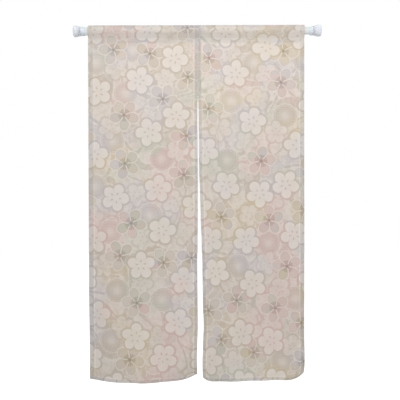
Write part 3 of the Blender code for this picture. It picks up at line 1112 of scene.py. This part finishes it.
def add_map(mesh, name, places):
    """Gives a mesh a UV map from each face corner's place."""
    layer = mesh.uv_layers.new(name=name)
    layer.uv.foreach_set("vector", np.asarray(places, np.float32).ravel())


def cloth_places(panel, printed, reverse, rim):
    """Each face corner's place on the print. A hem's turned ply goes on past the cloth's edge."""
    across, down = panel.flat_places()
    count = len(across)
    flat = np.stack([panel.left_end + across, -down], axis=1)
    back = reverse - count
    turned = flat[back]
    middle_across = across[back].mean(axis=1)
    middle_down = down[back].mean(axis=1)
    at_left = middle_across < panel.left_hem
    at_right = middle_across > panel.width - panel.right_hem
    low = middle_down > panel.length - BOTTOM_HEM
    turned[at_left, :, 0] = 2.0 * panel.left_end - turned[at_left, :, 0]
    turned[at_right, :, 0] = 2.0 * (panel.left_end + panel.width) - turned[at_right, :, 0]
    turned[low, :, 1] = -2.0 * panel.length - turned[low, :, 1]
    single = ~(at_left | at_right | low)
    places = np.concatenate([flat[printed], turned, flat[rim % count]])
    is_reverse = np.concatenate([np.zeros(len(printed)), single, np.zeros(len(rim))])
    return places, is_reverse


def bake_places(panel, printed, reverse, rim):
    """Each face corner's place on the bake map: the printed side at the left, the reverse at the right."""
    across, down = panel.flat_places()
    count = len(across)
    half = 0.5 - 2.0 * BAKE_EDGE
    u = BAKE_EDGE + half * across / panel.width
    v = 1.0 - BAKE_EDGE - (1.0 - 2.0 * BAKE_EDGE) * (down - down[0]) / (down[-1] - down[0])
    flat = np.stack([u, v], axis=1)
    out_u = np.where(across <= 0.0, -BAKE_RIM, np.where(across >= panel.width, BAKE_RIM, 0.0))
    out_v = np.where(down <= down[0], BAKE_RIM, np.where(down >= down[-1], -BAKE_RIM, 0.0))
    pushed = flat + np.stack([out_u, out_v], axis=1)
    around = np.where((rim >= count)[:, :, None], pushed[rim % count], flat[rim % count])
    return np.concatenate([flat[printed], flat[reverse - count] + (0.5, 0.0), around])


def new_object(name, data):
    """An object in the scene."""
    made = bpy.data.objects.new(name, data)
    bpy.context.scene.collection.objects.link(made)
    return made


def link_piece(name, data, material, slot):
    """Puts a mesh or curve into the scene as a piece of the curtain."""
    made = new_object(name, data)
    data.materials.append(material)
    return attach(made, "root")


def build_cloth(panel, motifs, look, material):
    """One panel's cloth as a thin closed sheet, with its print's places and its maps."""
    hem = panel.in_hem()
    stitch_line = stitch_groove(panel)
    front = panel.middle + panel.normal * (0.5 * panel.cloth.ply - stitch_line)[:, :, None]
    thick = 0.5 * panel.cloth.ply + hem * panel.cloth.hem_ply
    back = panel.middle - panel.normal * thick[:, :, None]
    points = np.concatenate([front.reshape(-1, 3), back.reshape(-1, 3)])
    printed, reverse, rim = panel.faces_of()
    mesh = bpy.data.meshes.new("cloth_" + panel.side)
    mesh.from_pydata(points.tolist(), [], np.concatenate([printed, reverse, rim]).tolist())
    places, is_reverse = cloth_places(panel, printed, reverse, rim)
    add_map(mesh, "cloth", places)
    add_map(mesh, "OFBake", bake_places(panel, printed, reverse, rim))
    mesh.uv_layers["OFBake"].active_render = True
    # hem carries painted shade, seam more painted shade, and pale a painted highlight
    marks = {"hem": panel.painted_ply_shade(), "pale": panel.beside_hem(), "seam": panel.in_seam()}
    for name, shares in marks.items():
        store(mesh, name, "FLOAT", "POINT", np.tile(shares.ravel(), 2))
    store(mesh, "reverse", "FLOAT", "FACE", is_reverse)
    middles = places.mean(axis=1)
    for kind, slots in MOTIF_SLOTS.items():
        reach = getattr(look, kind + "_radius") + MOTIF_MARGIN
        near = motifs_near(middles, motifs[kind], reach, len(slots))
        for i, slot in enumerate(slots):
            store(mesh, slot, "FLOAT_VECTOR", "FACE", near[:, i])
    mesh.shade_smooth()
    mesh.set_sharp_from_angle(angle=math.radians(60.0))
    made = link_piece("cloth_" + panel.side, mesh, material, "cloth")
    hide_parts("panel_" + panel.side)
    return made


def stitch_groove(panel):
    """How deep each line of stitches draws the cloth in."""
    across = panel.across[None, :]
    down = panel.down[:, None]
    offs = [across - panel.left_hem + panel.inset, panel.width - panel.right_hem + panel.inset - across]
    for line in (panel.length - BOTTOM_HEM + panel.inset, panel.stitch, -panel.stitch):
        offs.append(down - line)
    near = np.zeros(panel.middle.shape[:2])
    for off in offs:
        near = np.maximum(near, np.exp(-((off / GROOVE_WIDTH) ** 2)))
    return GROOVE_DEPTH * near


class Sewing:
    """A curve object's worth of stitches, each a short bent stretch of thread."""

    def __init__(self, name, sewing):
        self.sewing = sewing
        self.curve = bpy.data.curves.new(name, "CURVE")
        self.curve.dimensions = "3D"
        self.curve.bevel_depth = sewing.thread_radius
        self.curve.bevel_resolution = 1
        self.curve.use_fill_caps = True

    def stretch(self, points):
        """One stretch of thread through the points."""
        spline = self.curve.splines.new("POLY")
        spline.points.add(len(points) - 1)
        flat = np.column_stack([points, np.ones(len(points))])
        spline.points.foreach_set("co", flat.astype(np.float32).ravel())

    def line(self, panel, start, end, lifts, draw):
        """A row of stitches between two places on the flat cloth, on each side that lifts gives."""
        start = np.array(start)
        end = np.array(end)
        length = np.linalg.norm(end - start)
        count = int(length / self.sewing.stitch)
        along = (end - start) / length
        aside = np.array((-along[1], along[0]))
        for i in range(count):
            first = i * length / count + draw.uniform(-STITCH_SHIFT, STITCH_SHIFT)
            last = first + length / count - self.sewing.stitch_gap
            sway = draw.uniform(-STITCH_SWAY, STITCH_SWAY, 4)
            steps = np.array((first, first + STITCH_RAMP, last - STITCH_RAMP, last))
            flat = start + along * steps[:, None] + aside * sway[:, None]
            for lift, sunk in lifts:
                heights = np.array((sunk, lift, lift, sunk))
                self.stretch(panel.at(flat[:, 0], flat[:, 1], heights))

    def piece(self, material):
        """The stitches as a piece of the curtain."""
        return link_piece(self.curve.name, self.curve, material, "cloth")


def sew_panel(panel, sewing, material):
    """The hem stitches and the pocket's stitches of one panel, on both sides of the cloth."""
    draw = np.random.default_rng(len(panel.side))
    work = Sewing("stitching_" + panel.side, sewing)
    radius = sewing.thread_radius
    front = (0.5 * panel.cloth.ply - THREAD_SINK + 0.8 * radius, 0.0)
    back = (-0.5 * panel.cloth.ply - panel.cloth.hem_ply - 0.6 * radius, -0.5 * panel.cloth.ply)
    top = panel.down[0] + 0.5 * EDGE_CLEAR
    low = panel.length - BOTTOM_HEM + sewing.inset
    left = panel.left_hem - sewing.inset
    right = panel.width - panel.right_hem + sewing.inset
    for across in (left, right):
        work.line(panel, (across, top), (across, panel.length - EDGE_CLEAR), (front, back), draw)
    work.line(panel, (EDGE_CLEAR, low), (panel.width - EDGE_CLEAR, low), (front, back), draw)
    clear = 0.5 * EDGE_CLEAR
    for down in (-panel.stitch, panel.stitch):
        work.line(panel, (clear, down), (panel.width - clear, down), (front,), draw)
    return work.piece(material)


def sew_seam(panels, sewing, material):
    """The slanting stitches behind the seam of the two panels, and the bar that ends them."""
    work = Sewing("stitching_seam", sewing)
    left, right = panels["left"], panels["right"]

    def cross(bite, down, slant, lift):
        """One stretch of thread from panel to panel, sunk into the cloth at both ends."""
        one = left.at(np.full(2, left.width - bite), np.full(2, down), (0.0, lift))
        two = right.at(np.full(2, bite), np.full(2, down + slant), (lift, 0.0))
        work.stretch(np.concatenate([one, two]))

    over = 0.5 * left.cloth.ply + 0.7 * sewing.thread_radius
    for down in np.arange(left.down[0] + EDGE_CLEAR, left.seam_end - EDGE_CLEAR, SEAM_PITCH):
        cross(SEAM_BITE, down, SEAM_SLANT, -over - left.cloth.hem_ply)
    for i in range(BAR_STITCHES):
        cross(BAR_REACH, left.seam_end - BAR_RISE + BAR_PITCH * i, 0.0, over + 0.0001)
    return work.piece(material)


def turned(name, profile, material, slot, node, from_right=False):
    """A profile of (along, radius) points from one of the rod's ends, turned about the rod's axis.

    Its outer side is on its left. It ends on the axis, or where it starts.
    """
    sign = -1.0 if from_right else 1.0
    base = ROD_END if from_right else 0.0
    points = []
    rings = {}
    for along, radius in dict.fromkeys(profile):
        steps = ROUND_STEPS if radius else 1
        rings[along, radius] = [len(points) + i % steps for i in range(ROUND_STEPS + 1)]
        for turn in np.linspace(0.0, 2.0 * math.pi, steps, endpoint=False):
            points.append((base + sign * along, radius * math.sin(turn), radius * math.cos(turn)))
    faces = []
    for one, two in zip(profile, profile[1:]):
        for i in range(ROUND_STEPS):
            corners = (rings[one][i], rings[two][i], rings[two][i + 1], rings[one][i + 1])
            face = list(dict.fromkeys(corners))
            faces.append(face[::-1] if from_right else face)
    mesh = bpy.data.meshes.new(name)
    mesh.from_pydata(points, [], faces)
    mesh.shade_smooth()
    mesh.set_sharp_from_angle(angle=math.radians(35.0))
    made = link_piece(name, mesh, material, slot)
    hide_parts(node)
    return made


def arc(centre_along, centre_radius, size, start, end, steps):
    """Points of an arc in a turned profile, between two angles in degrees. 0 points outward."""
    angles = np.radians(np.linspace(start, end, steps + 1))
    return [(centre_along + size * math.sin(a), centre_radius + size * math.cos(a)) for a in angles]


def tube_profile(start, end, radius):
    """A drawn steel tube with rolled edges."""
    outer = arc(start + TUBE_ROLL, radius - TUBE_ROLL, TUBE_ROLL, -90.0, 0.0, 4)
    outer += arc(end - TUBE_ROLL, radius - TUBE_ROLL, TUBE_ROLL, 0.0, 90.0, 4)
    return outer + [(end, radius - TUBE_WALL), (start, radius - TUBE_WALL), outer[0]]


def collar_profile(start, end, radius, bore):
    """A moulded collar: rounded shoulders, a shallow groove near each end, and its bore."""
    inner = radius - COLLAR_ROUND
    outer = arc(start + COLLAR_ROUND, inner, COLLAR_ROUND, -90.0, 0.0, 8)
    for centre in (start + COLLAR_GROOVE_INSET, end - COLLAR_GROOVE_INSET):
        outer += [(centre + off, radius - deep) for off, deep in COLLAR_GROOVE]
    outer += arc(end - COLLAR_ROUND, inner, COLLAR_ROUND, 0.0, 90.0, 8)
    return outer + [(end, bore), (start, bore), outer[0]]


def bumper_profile(length, bore):
    """A flared rubber bumper: ringed wall face, round bulge, long flare, small lip, and its bore."""
    bulge = BULGE_SHARE * length
    profile = [(FACE_GROOVE, 0.0)]
    for radius in FACE_RING_RADII:
        profile += [(deep, radius + off) for off, deep in FACE_RING]
    profile += [(FACE_GROOVE, FACE_RADIUS - 0.0012), (0.0, FACE_RADIUS - 0.0007), (0.0, FACE_RADIUS)]
    for i in range(1, BULGE_STEPS + 1):
        turn = 0.5 * math.pi * i / BULGE_STEPS
        radius = FACE_RADIUS + (BULGE_RADIUS - FACE_RADIUS) * math.sin(turn)
        profile.append((bulge * (1.0 - math.cos(turn)), radius))
    for i in range(1, FLARE_STEPS + 1):
        part = i / FLARE_STEPS
        swell = 0.5 + 0.5 * math.cos(math.pi * part)
        radius = BUMPER_WAIST + (BULGE_RADIUS - BUMPER_WAIST) * swell
        profile.append((bulge + (length - LIP - bulge) * part, radius))
    groove = BUMPER_WAIST - LIP_GROOVE
    profile += [(length - 0.0019, groove), (length - 0.0014, groove)]
    profile += arc(length - LIP_ROUND, BUMPER_WAIST - LIP_ROUND, LIP_ROUND, 0.0, 90.0, 4)
    return profile + [(length, bore), (BUMPER_FLOOR, bore), (BUMPER_FLOOR, 0.0)]


class NOREN_OT_make_stage(bpy.types.Operator):
    """Sets the camera, the pale floor and the soft light"""

    bl_idname = "noren.make_stage"
    bl_label = "Make Stage"

    def execute(self, context):
        scene = context.scene
        stage = scene.noren.stage
        camera = new_object("camera", bpy.data.cameras.new("camera"))
        camera.data.lens = LENS
        camera.data.sensor_width = SENSOR
        camera.location = CAMERA_PLACE
        camera.rotation_euler = (math.radians(90.0), CAMERA_ROLL, 0.0)
        scene.camera = camera
        scene.view_settings.view_transform = "Standard"
        self.make_floor(scene, stage)
        self.make_sky(scene, stage)
        for row in LIGHTS:
            lamp = bpy.data.lights.new(row["name"], "AREA")
            lamp.shape = "RECTANGLE"
            lamp.size = row["width"]
            lamp.size_y = row["height"]
            lamp.energy = row["power"]
            lamp.color = row["colour"]
            made = new_object(row["name"], lamp)
            made.location = row["place"]
            facing = Vector(row["aim"]) - made.location
            made.rotation_euler = facing.to_track_quat("-Z", "Y").to_euler()
            made.visible_camera = False
        return {"FINISHED"}

    def make_floor(self, scene, stage):
        """A broad pale floor. It doesn't colour the curtain: the sky below stands for its light."""
        height = CAD_BOX[0][2] - stage.floor_drop
        bpy.ops.mesh.primitive_plane_add(size=stage.floor_size, location=(0.5 * ROD_END, 0.0, height))
        floor = bpy.context.object
        floor.name = "floor"
        made, tree = new_material("pale floor")
        where = add_node(tree, "TexCoord", output=3)
        mottle = add_node(tree, "TexNoise", {"Vector": where, "Scale": 3.0, "Detail": 5.0}) * 0.02 + 0.985
        shade = times(stage.floor, mottle)
        paint_coat = {
            "Base Color": shade,
            "Roughness": mottle * 0.3 + 0.5,
            "Emission Color": (1.0, 1.0, 1.0, 1.0),
            "Emission Strength": FLOOR_GLOW,
        }
        floor.data.materials.append(close_material(made, add_node(tree, "BsdfPrincipled", paint_coat)))
        floor.visible_diffuse = False

    def make_sky(self, scene, stage):
        """Soft light from all round, brighter from above, seen as plain white."""
        scene.world = bpy.data.worlds.new("studio")
        scene.world.use_nodes = True
        tree = scene.world.node_tree
        tree.nodes.clear()
        out = tree.nodes.new("ShaderNodeOutputWorld").inputs["Surface"]
        _, _, up = add_node(tree, "TexCoord").split()
        light = mixed(rise(up, -HORIZON, HORIZON), stage.ground, stage.sky)
        lit = add_node(tree, "Background", {"Color": light})
        seen = add_node(tree, "Background", {"Color": (1.0, 1.0, 1.0, 1.0)})
        straight = add_node(tree, "LightPath")
        feed(tree, add_node(tree, "MixShader", {0: straight, 1: lit, 2: seen}), out)
        lay_out(tree)


class NOREN_OT_make_tubes(bpy.types.Operator):
    """Makes the rod's two white steel tubes, one running in the other"""

    bl_idname = "noren.make_tubes"
    bl_label = "Make Tubes"

    def execute(self, context):
        coat = hard_material("white tube coating", context.scene.noren.rod.tube)
        for name in ("outer", "inner"):
            node = "rod_" + name + "_tube"
            low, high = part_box(node)
            turned("tube_" + name, tube_profile(low.x, high.x, high.z), coat, "tube", node)
        return {"FINISHED"}


class NOREN_OT_make_rod_ends(bpy.types.Operator):
    """Makes the plastic collars and the rubber bumpers at the rod's two ends"""

    bl_idname = "noren.make_rod_ends"
    bl_label = "Make Rod Ends"

    def execute(self, context):
        rod = context.scene.noren.rod
        plastic = hard_material("collar plastic", rod.collar)
        rubber = hard_material("bumper rubber", rod.bumper)
        for side, tube in (("left", "rod_outer_tube"), ("right", "rod_inner_tube")):
            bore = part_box(tube)[1].z + FIT_GAP
            low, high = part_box("collar_" + side)
            start, end = (low.x, high.x) if side == "left" else (ROD_END - high.x, ROD_END - low.x)
            is_right = side == "right"
            profile = collar_profile(start, end, high.z, bore)
            turned("ring_" + side, profile, plastic, "collar", "collar_" + side, is_right)
            low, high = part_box("end_cap_" + side)
            profile = bumper_profile(high.x - low.x, bore)
            turned("bumper_" + side, profile, rubber, "cap", "end_cap_" + side, is_right)
        return {"FINISHED"}


class NOREN_OT_make_cloth(bpy.types.Operator):
    """Makes the two printed cloth panels as they hang"""

    bl_idname = "noren.make_cloth"
    bl_label = "Make Cloth"

    def execute(self, context):
        settings = context.scene.noren
        material = cloth_material(settings)
        motifs = scattered_motifs(settings.pattern.seed)
        for side in SIDES:
            build_cloth(Panel(side, settings), motifs, settings.pattern, material)
        return {"FINISHED"}


class NOREN_OT_make_sewing(bpy.types.Operator):
    """Makes the stitches of the hems, the pocket and the seam"""

    bl_idname = "noren.make_sewing"
    bl_label = "Make Sewing"

    def execute(self, context):
        settings = context.scene.noren
        material = thread_material(settings.sewing)
        panels = {side: Panel(side, settings) for side in SIDES}
        seam = sew_seam(panels, settings.sewing, material)
        for side, panel in panels.items():
            stitches = sew_panel(panel, settings.sewing, material)
        return {"FINISHED"}


class NOREN_PT_sidebar(bpy.types.Panel):
    """Lists the steps that build the curtain, and its settings"""

    bl_idname = "NOREN_PT_sidebar"
    bl_label = "Noren Curtain"
    bl_space_type = "VIEW_3D"
    bl_region_type = "UI"
    bl_category = "Noren"

    def draw(self, context):
        settings = context.scene.noren
        for step in STEPS:
            self.layout.operator(step.bl_idname)
        for title in ("cloth", "pattern", "sewing", "rod", "stage"):
            box = self.layout.box()
            box.label(text=title.capitalize())
            group = getattr(settings, title)
            for name in group.__annotations__:
                box.prop(group, name)


STEPS = (
    NOREN_OT_make_stage,
    NOREN_OT_make_tubes,
    NOREN_OT_make_rod_ends,
    NOREN_OT_make_cloth,
    NOREN_OT_make_sewing,
)
GROUPS = (
    NOREN_PG_cloth,
    NOREN_PG_print,
    NOREN_PG_sewing,
    NOREN_PG_rod,
    NOREN_PG_stage,
    NOREN_PG_settings,
)


def register():
    for kind in (*GROUPS, *STEPS, NOREN_PT_sidebar):
        bpy.utils.register_class(kind)
    bpy.types.Scene.noren = PointerProperty(type=NOREN_PG_settings)


def unregister():
    del bpy.types.Scene.noren
    for kind in reversed((*GROUPS, *STEPS, NOREN_PT_sidebar)):
        bpy.utils.unregister_class(kind)


def main():
    register()
    bpy.ops.noren.make_stage()
    bpy.ops.noren.make_tubes()
    bpy.ops.noren.make_rod_ends()
    bpy.ops.noren.make_cloth()
    bpy.ops.noren.make_sewing()


if __name__ == "__main__":
    main()
